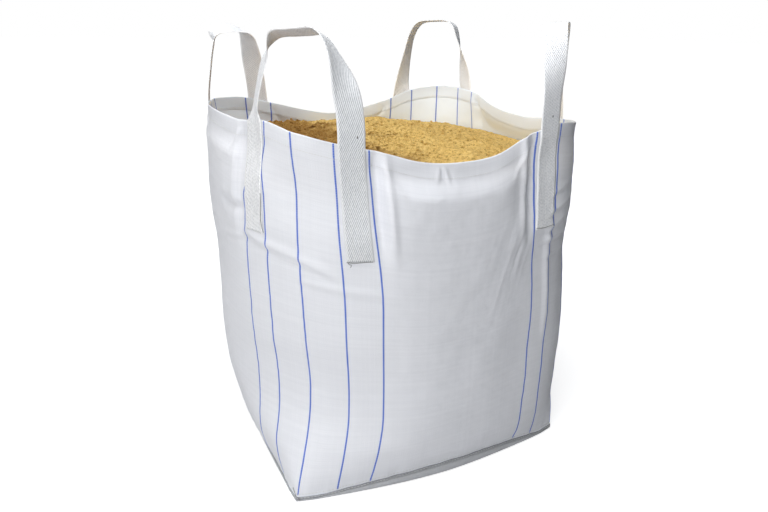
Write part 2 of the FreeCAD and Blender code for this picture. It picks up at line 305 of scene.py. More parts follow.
def path_fold(u, z, points, width, depth, sharp=1.0):
    """A crease along a line of (girth, height) points: raised above the line and sunk below it."""
    us, zs = np.array([p[0] for p in points]), np.array([p[1] for p in points])
    gap_u = np.mod(u - us[0] + GIRTH / 2, GIRTH) - GIRTH / 2
    line = np.interp(gap_u, us - us[0], zs)
    span = us[-1] - us[0]
    ends = smooth(gap_u, -0.012, 0.2 * span) * smooth(gap_u, span + 0.012, 0.8 * span)
    away = (z - line) / width
    return ends * depth * (np.exp(-((away - 0.5) ** 2)) - sharp * np.exp(-((away + 0.45) ** 2) * 2.2))


BACK_RIGHT = 2 * SIDE
BACK_LEFT = 3 * SIDE
# each crease: points (girth, height) from its start to its end, width and depth
CREASES = (
    # round the front left corner, below both strap ends
    (((-0.24, 0.742), (-0.11, 0.716), (0.00, 0.698), (0.12, 0.648)), 0.018, 0.0050),
    (((-0.02, 0.640), (0.10, 0.618), (0.24, 0.592)), 0.016, 0.0028),
    (((-0.33, 0.703), (-0.27, 0.708), (-0.20, 0.724)), 0.012, 0.0030),
    (((-0.32, 0.822), (-0.26, 0.820), (-0.20, 0.813)), 0.020, 0.0050),
    # pulls from the front right strap's foot to its corner
    (((0.765, 0.758), (0.84, 0.780), (0.90, 0.800)), 0.013, 0.0042),
    (((0.765, 0.708), (0.84, 0.732), (0.90, 0.752)), 0.013, 0.0042),
    (((0.745, 0.676), (0.84, 0.684), (0.90, 0.694)), 0.014, 0.0034),
    (((0.770, 0.812), (0.84, 0.835), (0.90, 0.856)), 0.013, 0.0028),
    (((0.760, 0.630), (0.84, 0.634), (0.90, 0.640)), 0.013, 0.0025),
    (((BACK_RIGHT - 0.12, 0.760), (BACK_RIGHT + 0.10, 0.700)), 0.015, 0.0050),
    (((BACK_RIGHT - 0.12, 0.700), (BACK_RIGHT + 0.10, 0.640)), 0.015, 0.0040),
    (((BACK_LEFT - 0.12, 0.760), (BACK_LEFT + 0.10, 0.700)), 0.015, 0.0050),
    (((BACK_LEFT - 0.12, 0.700), (BACK_LEFT + 0.10, 0.640)), 0.015, 0.0040),
)


def creases(u, z):
    """The marked creases, two soft hollows, and a fold below the front right strap."""
    out = sum(path_fold(u, z, points, width, depth) for points, width, depth in CREASES)
    out = out - 0.008 * near(u, 0.655, 0.035) * bump(z - 0.83, 0.07)
    out = out - 0.007 * near(u, -0.262, 0.045) * bump(z - 0.815, 0.026)
    return out + 0.006 * near(u, 0.774, 0.012) * smooth(z, 0.75, 0.68) * smooth(z, 0.30, 0.48)


def rim_puckers(u, z):
    """Small gathers under the front rim, and tension folds from each strap into the free cloth."""
    below = rim_height(u) - z
    out = np.zeros_like(z)
    for step, size in ((-0.012, 0.0030), (0.0, -0.0034), (0.011, 0.0034), (0.024, -0.0016)):
        place = 0.398 + step + 0.30 * (below - 0.03) * np.sign(step + 1e-9)
        out += size * near(u, place, 0.0055) * smooth(below, 0.006, 0.020) * smooth(below, 0.070, 0.03)
    for k in range(4):
        for side in (-1, 1):
            strap_edge = STRAP_MIDDLE + WEBBING_WIDTH / 2 + 0.018
            place = k * SIDE + side * (strap_edge + 0.90 * np.clip(below - 0.01, 0, 0.08))
            out += 0.0032 * near(u, place, 0.010) * smooth(below, 0.0, 0.03) * smooth(below, 0.12, 0.06)
    return out


def base_gathers(u, z):
    """The seam draws the foot of the wall in under the belly, and into small upright gathers."""
    above = z - seam_height(u)
    x = noise_place(u)
    wave = FINE(x * 2.0, 3.5) + 0.5 * FINE(x * 4.0, 9.5)
    gathers = 0.0026 * wave * smooth(above, 0.09, 0.0) * smooth(above, -0.001, 0.012)
    return gathers - 0.012 * seam_arch(u) * smooth(above, 0.055, 0.0)


def build_wall():
    """Grid of points on the outer face of the cloth, rows from base seam to rim, with its normals."""
    u = np.arange(COLUMNS) * GIRTH / COLUMNS
    t = np.linspace(0, 1, ROWS)
    uu, tt = np.meshgrid(u, t)
    low, high = seam_height(uu), rim_height(uu)
    z = low + (high - low) * tt
    points = plan_point(uu, z)
    normals = grid_normals(points)
    flat = normals.copy()
    flat[..., 2] *= 0.3
    flat /= np.linalg.norm(flat, axis=-1, keepdims=True)
    offset = folds(uu, z) + ripples(uu, z) + creases(uu, z) + rim_puckers(uu, z) + base_gathers(uu, z)
    points = points + flat * offset[..., None]
    tuck = near(uu, 1 * SIDE, 0.20) * smooth(z, 0.10, 0.0)
    points = points + tuck[..., None] * np.array([-0.022, -0.020, 0.0])
    return points, grid_normals(points)


def grid_normals(points):
    """Outward unit normals of a grid that closes on itself along its second axis."""
    along = np.roll(points, -1, 1) - np.roll(points, 1, 1)
    up = np.gradient(points, axis=0)
    normals = np.cross(along, up)
    return normals / np.linalg.norm(normals, axis=-1, keepdims=True)


WALL, WALL_NORMALS = build_wall()


def from_wall(table, u, t):
    """Bilinear look-up in a wall grid, at places on the girth and shares of the height."""
    u, t = np.broadcast_arrays(u, t)
    c = np.mod(u, GIRTH) / GIRTH * COLUMNS
    r = np.clip(t, 0, 1) * (ROWS - 1)
    j, i = c.astype(int) % COLUMNS, np.minimum(r.astype(int), ROWS - 2)
    fc, fr = (c - np.floor(c))[..., None], (r - i)[..., None]
    k = (j + 1) % COLUMNS
    low = table[i, j] * (1 - fc) + table[i, k] * fc
    high = table[i + 1, j] * (1 - fc) + table[i + 1, k] * fc
    return low * (1 - fr) + high * fr


def on_wall(u, z, lift=0.0):
    """A point lifted off the wall's outer face, at a place on the girth and a height. Negative is inside."""
    u, z = np.broadcast_arrays(np.asarray(u, float), np.asarray(z, float))
    low, high = seam_height(u), rim_height(u)
    t = (z - low) / (high - low)
    normal = from_wall(WALL_NORMALS, u, t)
    normal /= np.linalg.norm(normal, axis=-1, keepdims=True)
    return from_wall(WALL, u, t) + normal * np.asarray(lift)[..., None]


# ---- meshes ----
def add_mesh(name, points, faces, material, uvs=None, soft=True):
    """Makes an object from points and faces. uvs has one pair for each corner of each face."""
    mesh = bpy.data.meshes.new(name)
    mesh.from_pydata(points.reshape(-1, 3).tolist(), [], faces)
    if uvs is not None:
        layer = mesh.uv_layers.new(name="cloth")
        layer.data.foreach_set("uv", uvs.reshape(-1).astype(np.float32))
    if soft:
        mesh.polygons.foreach_set("use_smooth", np.ones(len(faces), bool))
    mesh.update()
    made = bpy.data.objects.new(name, mesh)
    bpy.context.scene.collection.objects.link(made)
    mesh.materials.append(material)
    return made


def skin(name, sections, material, ring=False, lengths=None, girths=None):
    """Closed skin over sections, each a closed loop of points. ring joins the last section to the first."""
    n, m, _ = sections.shape
    spans = n if ring else n - 1
    i, j = np.meshgrid(np.arange(spans), np.arange(m), indexing="ij")
    i2, j2 = (i + 1) % n, (j + 1) % m
    quads = np.stack([i * m + j, i * m + j2, i2 * m + j2, i2 * m + j], -1).reshape(-1, 4)
    if lengths is None:
        lengths = np.arange(spans + 1) * 0.01
    if girths is None:
        girths = np.arange(m + 1) * 0.001
    corners = ((0, 0), (0, 1), (1, 1), (1, 0))
    uv = np.stack([np.stack([girths[j + b], lengths[i + a]], -1) for a, b in corners], 2)
    faces, uvs = quads.tolist(), [uv.reshape(-1, 2)]
    if not ring:
        faces.append(list(reversed(range(m))))
        faces.append([(n - 1) * m + j for j in range(m)])
        uvs.append(np.zeros((2 * m, 2)))
    return add_mesh(name, sections, faces, material, np.concatenate(uvs))


def fix_normals(piece):
    """Turns the faces of a closed mesh outwards."""
    mesh = bmesh.new()
    mesh.from_mesh(piece.data)
    bmesh.ops.recalc_face_normals(mesh, faces=mesh.faces)
    mesh.to_mesh(piece.data)
    mesh.free()


def on_bag(piece, slot, *nodes):
    """The piece moves with the bag and stands for these CAD nodes, which are hidden. The slot argument is not
    used.
    """
    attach(piece, "bag")
    if nodes:
        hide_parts(*nodes)


# ---- materials ----
class Nodes:
    """A short way to write a node material."""

    def __init__(self, name):
        self.material = bpy.data.materials.new(name)
        self.material.use_nodes = True
        self.tree = self.material.node_tree
        self.shader = self.tree.nodes["Principled BSDF"]

    def add(self, kind, links=(), **settings):
        node = self.tree.nodes.new(kind)
        for key, value in settings.items():
            setattr(node, key, value)
        for socket, value in dict(links).items():
            self.put(node.inputs[socket], value)
        return node

    def put(self, socket, value):
        if hasattr(value, "outputs"):
            value = value.outputs[0]
        if isinstance(value, bpy.types.NodeSocket):
            self.tree.links.new(value, socket)
        else:
            socket.default_value = value

    def shade(self, inputs):
        for socket, value in inputs.items():
            self.put(self.shader.inputs[socket], value)

    def math(self, operation, a, b=0.0):
        return self.add("ShaderNodeMath", {0: a, 1: b}, operation=operation)

    def arch(self, share):
        """0 at both ends of a step, 1 in its middle."""
        return self.math("SINE", self.math("MULTIPLY", share, math.pi))

    def line(self, value, gain, base):
        return self.math("ADD", self.math("MULTIPLY", value, gain), base)

    def total(self, *terms):
        """The sum of (value, weight) pairs."""
        parts = [self.math("MULTIPLY", value, weight) for value, weight in terms]
        result = parts[0]
        for part in parts[1:]:
            result = self.math("ADD", result, part)
        return result

    def noise(self, vector, scale, detail, roughness=0.5):
        links = {"Vector": vector, "Scale": scale, "Detail": detail, "Roughness": roughness}
        return self.add("ShaderNodeTexNoise", links)

    def mix(self, factor, a, b, blend="MIX"):
        node = self.add("ShaderNodeMix", data_type="RGBA", blend_type=blend)
        self.put(node.inputs["Factor"], factor)
        self.put(node.inputs[6], a)
        self.put(node.inputs[7], b)
        return node.outputs[2]

    def ramp(self, factor, *stops):
        node = self.add("ShaderNodeValToRGB", {"Fac": factor})
        while len(node.color_ramp.elements) < len(stops):
            node.color_ramp.elements.new(0.5)
        for element, (place, colour) in zip(node.color_ramp.elements, stops):
            element.position = place
            element.color = (*colour, 1)
        return node

    def scaled(self, coordinate, scale):
        return self.add("ShaderNodeMapping", {"Vector": coordinate, "Scale": scale})

    def bump(self, height, distance, strength=1.0):
        return self.add("ShaderNodeBump", {"Height": height, "Distance": distance, "Strength": strength})


def tape_weave(n, uv, pitch):
    """Height and tone of plain-woven flat tapes: the crown of each crossing, and its top tape's shade."""
    split = n.add("ShaderNodeSeparateXYZ", {0: uv})
    across, along = (n.math("DIVIDE", split.outputs[k], pitch) for k in (0, 1))
    ix, iy = n.math("FLOOR", across), n.math("FLOOR", along)
    over = n.math("FLOORED_MODULO", n.math("ADD", ix, iy), 2.0)
    crown_x, crown_y = (n.math("POWER", n.arch(n.math("FRACT", at)), 0.4) for at in (across, along))
    warp_tone = n.add("ShaderNodeTexWhiteNoise", {"W": ix}, noise_dimensions="1D")
    weft_tone = n.add("ShaderNodeTexWhiteNoise", {"W": n.math("ADD", iy, 0.37)}, noise_dimensions="1D")
    tone = n.add("ShaderNodeMix", data_type="FLOAT")
    for socket, value in ((0, over), (2, warp_tone), (3, weft_tone)):
        n.put(tone.inputs[socket], value)
    return n.math("MULTIPLY", crown_x, crown_y), tone.outputs[0]


def painted_light_inner_face(n):
    """1 on faces that look towards the bag's upright axis, 0 on those that look away from it: where the
    cloth's painted light goes.
    """
    place = n.add("ShaderNodeNewGeometry")
    pair = {0: place.outputs["Position"], 1: (1, 1, 0)}
    from_axis = n.add("ShaderNodeVectorMath", pair, operation="MULTIPLY")
    pair = {0: from_axis, 1: place.outputs["Normal"]}
    product = n.add("ShaderNodeVectorMath", pair, operation="DOT_PRODUCT")
    links = {"Value": product.outputs["Value"], "From Min": 0.05, "From Max": -0.05}
    return n.add("ShaderNodeMapRange", links)


def cloth_material(name, base, dark, pitch=0.0032):
    """Woven tape cloth, a little streaky, with painted light on its inner face, which is coloured paler and
    cooler than its outer face.
    """
    n = Nodes(name)
    uv = n.add("ShaderNodeUVMap", uv_map="cloth")
    height, tone = tape_weave(n, uv, pitch)
    streak = n.noise(n.scaled(uv, (3.0, 90.0, 1.0)), 1.0, 3.0)
    cloud = n.noise(n.scaled(uv, (4.0, 5.0, 1.0)), 1.0, 4.0)
    colour = n.ramp(n.total((tone, 0.22), (streak, 0.40), (cloud, 0.40)), (0.25, dark), (0.80, base))
    slub = n.bump(streak, 0.0006, 0.35)
    n.put(slub.inputs["Normal"], n.bump(height, 0.00035, 0.6))
    n.shade({
        # painted light: the inner face takes a flat pale bluish colour that brightens and cools the inside
        # walls
        "Base Color": n.mix(painted_light_inner_face(n), colour.outputs[0], (0.85, 0.925, 1.0, 1)),
        "Roughness": n.line(streak, 0.20, 0.42),
        "Specular IOR Level": 0.35,
        "Sheen Weight": 0.08,
        "Subsurface Weight": 0.35,
        "Subsurface Radius": (1.0, 1.0, 1.0),
        "Subsurface Scale": 0.002,
        "Normal": slub,
    })
    return n.material


def webbing_material(name, groove_shade_colour, rib_colour, end_tone=(1.0, 1.0, 1.0)):
    """Twill webbing: steep diagonal ribs between two smooth pale edges, darker towards its last end by an end
    tone. Its colour follows the ribs' height, with painted shade in the grooves and painted highlight on the
    crowns.
    """
    n = Nodes(name)
    uv = n.add("ShaderNodeUVMap", uv_map="cloth")
    split = n.add("ShaderNodeSeparateXYZ", {0: uv})
    across, along = split.outputs[0], split.outputs[1]
    fuzz = n.noise(n.scaled(uv, (240.0, 45.0, 1.0)), 1.0, 3.0)
    slant = n.math("SUBTRACT", along, n.math("MULTIPLY", across, 2.0))
    slant = n.math("ADD", slant, n.math("MULTIPLY", fuzz, 0.004))
    rib = n.math("POWER", n.arch(n.math("FRACT", n.math("DIVIDE", slant, 0.0105))), 0.8)
    end = n.arch(n.math("FRACT", n.math("DIVIDE", across, 0.0035)))
    height = n.total((rib, 0.80), (end, 0.20))
    from_middle = n.math("ABSOLUTE", n.math("SUBTRACT", across, WEBBING_WIDTH / 2))
    edge = n.add("ShaderNodeMapRange", {"Value": from_middle, "From Min": 0.029, "From Max": 0.033})
    value = n.total((height, 0.70), (fuzz, 0.40), (edge, 0.35))
    # painted shade and highlight: dark grey where the weave is low, in the grooves, and near white on the rib
    # crowns
    colour = n.ramp(value, (0.40, groove_shade_colour), (0.62, rib_colour), (0.84, (0.96, 0.96, 0.96)))
    # darkens the colour towards the end tone along the webbing, from 0.35 to 0.85 of its length
    towards_end = n.add("ShaderNodeMapRange", {"Value": along, "From Min": 0.35, "From Max": 0.85})
    end_tint = n.mix(towards_end, (1, 1, 1, 1), (*end_tone, 1))
    n.shade({
        "Base Color": n.mix(1.0, colour.outputs[0], end_tint, "MULTIPLY"),
        "Roughness": n.line(fuzz, 0.25, 0.42),
        "Specular IOR Level": 0.35,
        "Normal": n.bump(height, 0.0008, 0.7),
    })
    return n.material


def thread_material(name, light, dark):
    n = Nodes(name)
    twist = n.noise(n.add("ShaderNodeTexCoord").outputs["Object"], 900.0, 2.0)
    n.shade({
        "Base Color": n.ramp(twist, (0.35, dark), (0.65, light)),
        "Roughness": n.line(twist, 0.3, 0.45),
        "Normal": n.bump(twist, 0.0003, 0.6),
    })
    return n.material


def yarn_material(name):
    """Blue tape, paler where the crossing tapes pass over it."""
    n = Nodes(name)
    uv = n.add("ShaderNodeUVMap", uv_map="cloth")
    along = n.add("ShaderNodeSeparateXYZ", {0: uv}).outputs[1]
    over = n.arch(n.math("FRACT", n.math("DIVIDE", along, 0.0064)))
    fade = n.noise(n.scaled(uv, (40.0, 12.0, 1.0)), 1.0, 3.0)
    value = n.total((over, 0.55), (fade, 0.5))
    n.shade({
        "Base Color": n.ramp(value, (0.15, (0.25, 0.36, 0.72)), (0.70, (0.080, 0.155, 0.60))),
        "Roughness": n.line(fade, 0.2, 0.40),
        "Normal": n.bump(over, 0.0003, 0.7),
    })
    return n.material


def sand_material(name):
    """Golden building sand: fine grain, darker crumbs, and one damp brown patch at the left."""
    n = Nodes(name)
    place = n.add("ShaderNodeTexCoord").outputs["Object"]
    grain = n.noise(place, 300.0, 5.0, 0.75)
    clump = n.noise(place, 80.0, 6.0, 0.70)
    colour = n.ramp(
        n.total((grain, 0.55), (clump, 0.45)),
        (0.37, (0.14, 0.070, 0.018)), (0.44, (0.54, 0.32, 0.085)),
        (0.50, (0.84, 0.56, 0.165)), (0.64, (0.98, 0.76, 0.35)),
    )
    x = n.add("ShaderNodeSeparateXYZ", {0: place}).outputs[0]
    broad = n.noise(place, 7.0, 5.0, 0.6)
    leftness = n.math("ADD", x, n.math("MULTIPLY", n.math("SUBTRACT", broad, 0.5), 0.55))
    damp = n.add("ShaderNodeMapRange", {"Value": leftness, "From Min": -0.03, "From Max": -0.17})
    wet = n.mix(damp, (1, 1, 1, 1), (0.47, 0.37, 0.28, 1))
    rough = n.bump(clump, 0.011, 0.9)
    n.put(rough.inputs["Normal"], n.bump(grain, 0.0040, 1.0))
    n.shade({
        "Base Color": n.mix(1.0, colour.outputs[0], wet, "MULTIPLY"),
        "Roughness": n.line(grain, 0.15, 0.80),
        "Specular IOR Level": 0.2,
        "Normal": rough,
    })
    return n.material


CLOTH_LOOK = cloth_material("woven_cloth", (0.84, 0.85, 0.885), (0.75, 0.762, 0.80))
BASE_LOOK = cloth_material("base_cloth", (0.58, 0.59, 0.61), (0.47, 0.48, 0.50))
# painted shade: the base seam ridge is coloured dark grey for the shadow in the groove under the overhanging
# belly
SEAM_SHADE_LOOK = cloth_material("seam_painted_shade", (0.36, 0.37, 0.39), (0.24, 0.25, 0.27))
WEBBING_LOOK = webbing_material("webbing", (0.34, 0.36, 0.38), (0.86, 0.88, 0.91))
# the front left loop is coloured greyer, and darker towards its foot on the front face
DARKER_WEBBING_LOOK = webbing_material(
    "darker_webbing", (0.38, 0.395, 0.41), (0.74, 0.75, 0.765), end_tone=(0.82, 0.83, 0.84)
)
THREAD_LOOK = thread_material("white_thread", (0.80, 0.80, 0.78), (0.58, 0.58, 0.56))
DARK_THREAD_LOOK = thread_material("grey_thread", (0.22, 0.22, 0.21), (0.08, 0.08, 0.08))
YARN_LOOK = yarn_material("blue_tape")
SAND_LOOK = sand_material("yellow_sand")


# ---- woven tube ----
def make_tube():
    """The tube as one closed thin sheet: outer face, rolled rim, inner face, and the edge in the seam."""
    inner = WALL - WALL_NORMALS * CLOTH
    crest = (WALL[-1:] + inner[-1:]) / 2 + np.array([0, 0, CLOTH * 0.6])
    rows = np.concatenate([WALL, crest, inner[::-1]])
    sections = rows.transpose(1, 0, 2)[:, ::-1]
    t = np.linspace(0, CLOTH_HEIGHT, ROWS)
    girths = np.concatenate([t, [CLOTH_HEIGHT], t[::-1]])[::-1]
    lengths = np.arange(COLUMNS + 1) * GIRTH / COLUMNS
    girths = np.append(girths, girths[0])
    tube = skin("bag_tube", sections, CLOTH_LOOK, ring=True, lengths=lengths, girths=girths)
    turn_uvs(tube)
    on_bag(tube, "woven_fabric", "body_tube", "rim_band")
    return tube


def turn_uvs(piece):
    """Swaps the two cloth coordinates, so that the second runs up the bag."""
    layer = piece.data.uv_layers["cloth"]
    uv = np.empty(len(layer.data) * 2, np.float32)
    layer.data.foreach_get("uv", uv)
    layer.data.foreach_set("uv", uv.reshape(-1, 2)[:, ::-1].reshape(-1).copy())


def ring_band(name, profile, height_of, material):
    """Sweeps a closed profile of (lift off the wall, rise) pairs round the girth, on a line of heights."""
    u = np.arange(COLUMNS) * GIRTH / COLUMNS
    sections = []
    for lift, rise in profile:
        over = np.clip(height_of(u) + rise - rim_height(u), 0, None)
        point = on_wall(u, height_of(u) + rise, lift)
        point[:, 2] += over
        sections.append(point)
    sections = np.stack(sections, 1)
    lengths = np.arange(COLUMNS + 1) * GIRTH / COLUMNS
    girths = distances(np.array([(a, 0, b) for a, b in list(profile) + [profile[0]]]))
    made = skin(name, sections, material, ring=True, lengths=lengths, girths=girths)
    turn_uvs(made)
    return made


HEM_DEPTH = 0.046
STITCH_DROP = 0.040


def make_hem():
    """The rim's cloth turned in and down, a second layer inside the first."""
    face, back = -0.0017, -0.0011
    profile = [
        (back, -HEM_DEPTH + 0.001), (back, -0.020), (back, -0.001), (-0.0012, 0.0006), (-0.0015, 0.0004),
        (face, -0.002), (face, -0.012), (face, -0.024), (face, -0.036), (face, -HEM_DEPTH),
        (-0.0014, -HEM_DEPTH - 0.0012),
    ]
    hem = ring_band("rim_hem_fold", profile, rim_height, CLOTH_LOOK)
    on_bag(hem, "woven_fabric", "rim_hem")
    return hem


# ---- stitches ----
def stitch_template(sides=6, rings=5):
    """One stitch of unit length and radius, fat in the middle and dipping into the cloth at both ends."""
    points = []
    for r in range(rings):
        w = r / (rings - 1)
        size = 0.35 + 0.65 * math.sin(math.pi * (0.08 + 0.84 * w))
        for s in range(sides):
            a = 2 * math.pi * s / sides
            rise = 0.9 * math.sin(math.pi * w) - 0.6
            points.append((w - 0.5, math.cos(a) * size, math.sin(a) * size + rise))
    faces = []
    for r in range(rings - 1):
        for s in range(sides):
            t = (s + 1) % sides
            faces.append((r * sides + s, r * sides + t, (r + 1) * sides + t, (r + 1) * sides + s))
    faces.append(tuple(reversed(range(sides))))
    faces.append(tuple((rings - 1) * sides + s for s in range(sides)))
    return np.array(points), faces


STITCH_POINTS, STITCH_FACES = stitch_template()


def add_stitches(name, starts, ends, normals, radius, material):
    """One mesh of many stitches, each from a start to an end, standing on the cloth."""
    along = ends - starts
    length = np.linalg.norm(along, axis=1, keepdims=True)
    along = along / length
    side = np.cross(normals, along)
    side /= np.linalg.norm(side, axis=1, keepdims=True)
    up = np.cross(along, side)
    p = STITCH_POINTS
    centre = (starts + ends) / 2
    points = (
        centre[:, None]
        + along[:, None] * (p[None, :, :1] * length[:, None])
        + side[:, None] * (p[None, :, 1:2] * radius)
        + up[:, None] * (p[None, :, 2:] * radius)
    )
    count = len(p)
    faces = [[v + k * count for v in face] for k in range(len(starts)) for face in STITCH_FACES]
    return add_mesh(name, points, faces, material)


def run_of_stitches(points, pitch, share=0.72):
    """Start and end points of stitches of one pitch along a line of points."""
    length = distances(points)
    count = max(int(length[-1] / pitch), 1)
    at = (np.arange(count) + 0.5) * length[-1] / count
    half = pitch * share / 2
    starts = np.stack([np.interp(at - half, length, points[:, k]) for k in range(3)], 1)
    ends = np.stack([np.interp(at + half, length, points[:, k]) for k in range(3)], 1)
    return starts, ends


class Seam:
    """Gathers runs of white stitches into one mesh."""

    def __init__(self):
        self.starts, self.ends, self.normals = [], [], []

    def run(self, points, pitch, normals_of, share=0.72):
        """Adds stitches along a line of points. normals_of gives the cloth's normals for their number."""
        starts, ends = run_of_stitches(points, pitch, share)
        self.starts.append(starts)
        self.ends.append(ends)
        self.normals.append(normals_of(len(starts)))

    def make(self, name, radius):
        starts, ends, normals = (np.concatenate(part) for part in (self.starts, self.ends, self.normals))
        return add_stitches(name, starts, ends, normals, radius, THREAD_LOOK)


def normals_round(count, t):
    """Normals of the wall at even steps round the girth, at a share of its height."""
    return from_wall(WALL_NORMALS, np.linspace(0, GIRTH, count, endpoint=False), t)


def make_hem_stitching():
    u = np.linspace(0, GIRTH, 1441)
    seam = Seam()
    for lift, way in ((0.0004, 1), (-0.0020, -1)):
        line = on_wall(u, rim_height(u) - STITCH_DROP, lift)
        seam.run(line, 0.0075, lambda count, way=way: way * normals_round(count, 0.96))
    on_bag(seam.make("rim_hem_lockstitch", 0.0006), "thread", "rim_hem_stitching")


# ---- lifting loops ----
# Each loop's free arch, from the strap end on the earlier face to the one on the later face. "line"
# has points (along the chord, above the rim, outwards). "twist" is where each leg starts and stops
# turning from its face to the level top, as shares of the rise, and how far it is turned at the rim.
# "tilt" lifts the top's outer edge. "pinch" narrows the first leg where it leaves the rim.
LOOPS = {
    "front_left": {
        "line": (
            (-0.1385, 0.0, 0.0), (-0.132, 0.05, 0.0), (-0.121, 0.11, -0.004), (-0.108, 0.165, -0.010),
            (-0.090, 0.214, -0.015), (-0.072, 0.236, -0.018), (-0.035, 0.243, -0.02), (0.0, 0.249, -0.02),
            (0.035, 0.255, -0.02), (0.062, 0.243, -0.018), (0.090, 0.205, -0.012), (0.115, 0.15, -0.006),
            (0.132, 0.09, -0.002), (0.138, 0.04, 0.0), (0.1385, 0.0, 0.0),
        ),
        "twist": ((0.62, 1.03, 0.27), (0.35, 0.95, 0)), "tilt": 17, "pinch": 0.38,
    },
    "front_right": {
        "line": (
            (-0.1385, 0.0, 0.0), (-0.136, 0.05, 0.0), (-0.130, 0.11, 0.0), (-0.120, 0.175, -0.002),
            (-0.104, 0.242, -0.006), (-0.082, 0.280, -0.010), (-0.04, 0.292, -0.011), (0.0, 0.294, -0.011),
            (0.04, 0.292, -0.011), (0.075, 0.280, -0.012), (0.095, 0.242, -0.014), (0.108, 0.175, -0.014),
            (0.122, 0.11, -0.010), (0.134, 0.05, -0.004), (0.1385, 0.0, 0.0),
        ),
        "twist": ((0.25, 0.95, 0), (0.25, 0.95, 0)), "tilt": 4,
    },
    "back_right": {
        "line": (
            (-0.1385, 0.0, 0.0), (-0.134, 0.05, 0.0), (-0.124, 0.11, 0.0), (-0.112, 0.165, 0.0),
            (-0.098, 0.220, 0.0), (-0.084, 0.258, 0.0), (-0.055, 0.277, 0.0), (0.0, 0.280, 0.0),
            (0.05, 0.277, 0.0), (0.078, 0.258, 0.0), (0.098, 0.220, 0.0), (0.112, 0.165, 0.0),
            (0.124, 0.11, 0.0), (0.134, 0.05, 0.0), (0.1385, 0.0, 0.0),
        ),
        "twist": ((0.1, 0.9, 0), (-0.4, 0.9, 0)), "tilt": -4,
    },
    "back_left": {
        "line": (
            (-0.1385, 0.0, 0.0), (-0.132, 0.05, 0.0), (-0.122, 0.10, 0.0), (-0.110, 0.150, 0.0),
            (-0.098, 0.195, 0.0), (-0.084, 0.230, 0.0), (-0.055, 0.250, 0.0), (0.0, 0.254, 0.0),
            (0.05, 0.252, 0.0), (0.078, 0.238, 0.0), (0.098, 0.20, 0.0), (0.112, 0.155, 0.0),
            (0.124, 0.10, 0.0), (0.134, 0.05, 0.0), (0.1385, 0.0, 0.0),
        ),
        "twist": ((0.3, 1.0, 0), (0.8, 1.0, 0)), "tilt": 24,
    },
}
ACROSS = np.linspace(-1, 1, 15)
CHORD = 0.277


def spline(values, count):
    """Samples a smooth curve through evenly numbered values."""
    at = np.linspace(0, len(values) - 1, count)
    return curve_through(at, np.arange(len(values)), values)


def unit(v):
    return v / np.linalg.norm(v, axis=-1, keepdims=True)


def strap_rows(u_middle, bottom, top, count):
    """Rows of points across a sewn strap end, lying on the wall, from bottom to top."""
    z = np.linspace(bottom, top, count)
    zz, across = np.meshgrid(z, ACROSS * WEBBING_WIDTH / 2, indexing="ij")
    return on_wall(u_middle + across + drift(u_middle, zz), zz, 0.0008 + WEBBING_THICK / 2)


def loop_rows(k, corner):
    """Rows of points across the whole length of one loop's webbing, from foot to foot."""
    shape = LOOPS[corner]
    feet = (k * SIDE - STRAP_PLACES[corner][0], k * SIDE + STRAP_PLACES[corner][1])
    rim = [float(rim_height(np.array([u]))[0]) for u in feet]
    first = strap_rows(feet[0], rim[0] - SEWN_LENGTH, rim[0], 46)
    last = strap_rows(feet[1], rim[1] - SEWN_LENGTH, rim[1], 46)[::-1]
    start, end = first[-1].mean(0), last[0].mean(0)
    chord = (end - start) * np.array([1, 1, 0])
    along = unit(chord)
    outward = np.cross(along, (0, 0, 1.0))

    n = 90
    reach, rise, out = (spline([point[i] for point in shape["line"]], n) for i in range(3))
    way = np.linspace(0, 1, n)
    centres = np.outer(1 - way, start * [0, 0, 1]) + np.outer(way, end * [0, 0, 1])
    centres += (start + end) / 2 * [1, 1, 0]
    centres += np.outer(reach * np.linalg.norm(chord) / CHORD, along) + np.outer(out, outward)
    centres[:, 2] += rise
    tangent = unit(np.gradient(centres, axis=0))

    first_face, last_face = unit(first[-1, -1] - first[-1, 0]), unit(last[0, 0] - last[0, -1])
    tilt = math.radians(shape["tilt"])
    level = outward * math.cos(tilt) + np.array([0, 0, math.sin(tilt)])
    across = np.empty_like(centres)
    for leg, face, here in ((0, first_face, way < 0.5), (1, last_face, way >= 0.5)):
        begin, done, at_foot = shape["twist"][leg]
        share = at_foot + (1 - at_foot) * smooth(rise[here] / rise.max(), begin, done)[:, None]
        across[here] = face * (1 - share) + level * share
    across = unit(across - tangent * (across * tangent).sum(1, keepdims=True))
    arch = centres[:, None] + across[:, None] * (ACROSS[None, :, None] * WEBBING_WIDTH / 2)
    last = last[:, ::-1]
    hold = smooth(np.arange(n), 0, 6)[:, None, None]
    release = smooth(np.arange(n), n - 1, n - 10)[:, None, None]
    arch = arch + (first[-1] - arch[0]) * (1 - hold) + (last[0] - arch[-1]) * (1 - release)
    rows = np.concatenate([first, arch[1:-1], last])
    row = np.arange(len(rows))
    pinch = 1 - shape.get("pinch", 0) * smooth(row, 44, 48) * smooth(row, 68, 52)
    middle = rows[:, len(ACROSS) // 2, None]
    return middle + (rows - middle) * pinch[:, None, None]


def webbing_sections(rows):
    """Gives rows of points across the webbing a thickness with rounded edges."""
    along = np.gradient(rows, axis=0)
    across = np.gradient(rows, axis=1)
    normal = np.cross(along, across)
    normal /= np.linalg.norm(normal, axis=-1, keepdims=True)
    edge = np.sqrt(np.clip(1 - np.abs(ACROSS) ** 14, 0, 1)) * WEBBING_THICK / 2
    edge = np.maximum(edge, 0.0002)[None, :, None]
    return np.concatenate([rows + normal * edge, (rows - normal * edge)[:, ::-1]], axis=1)


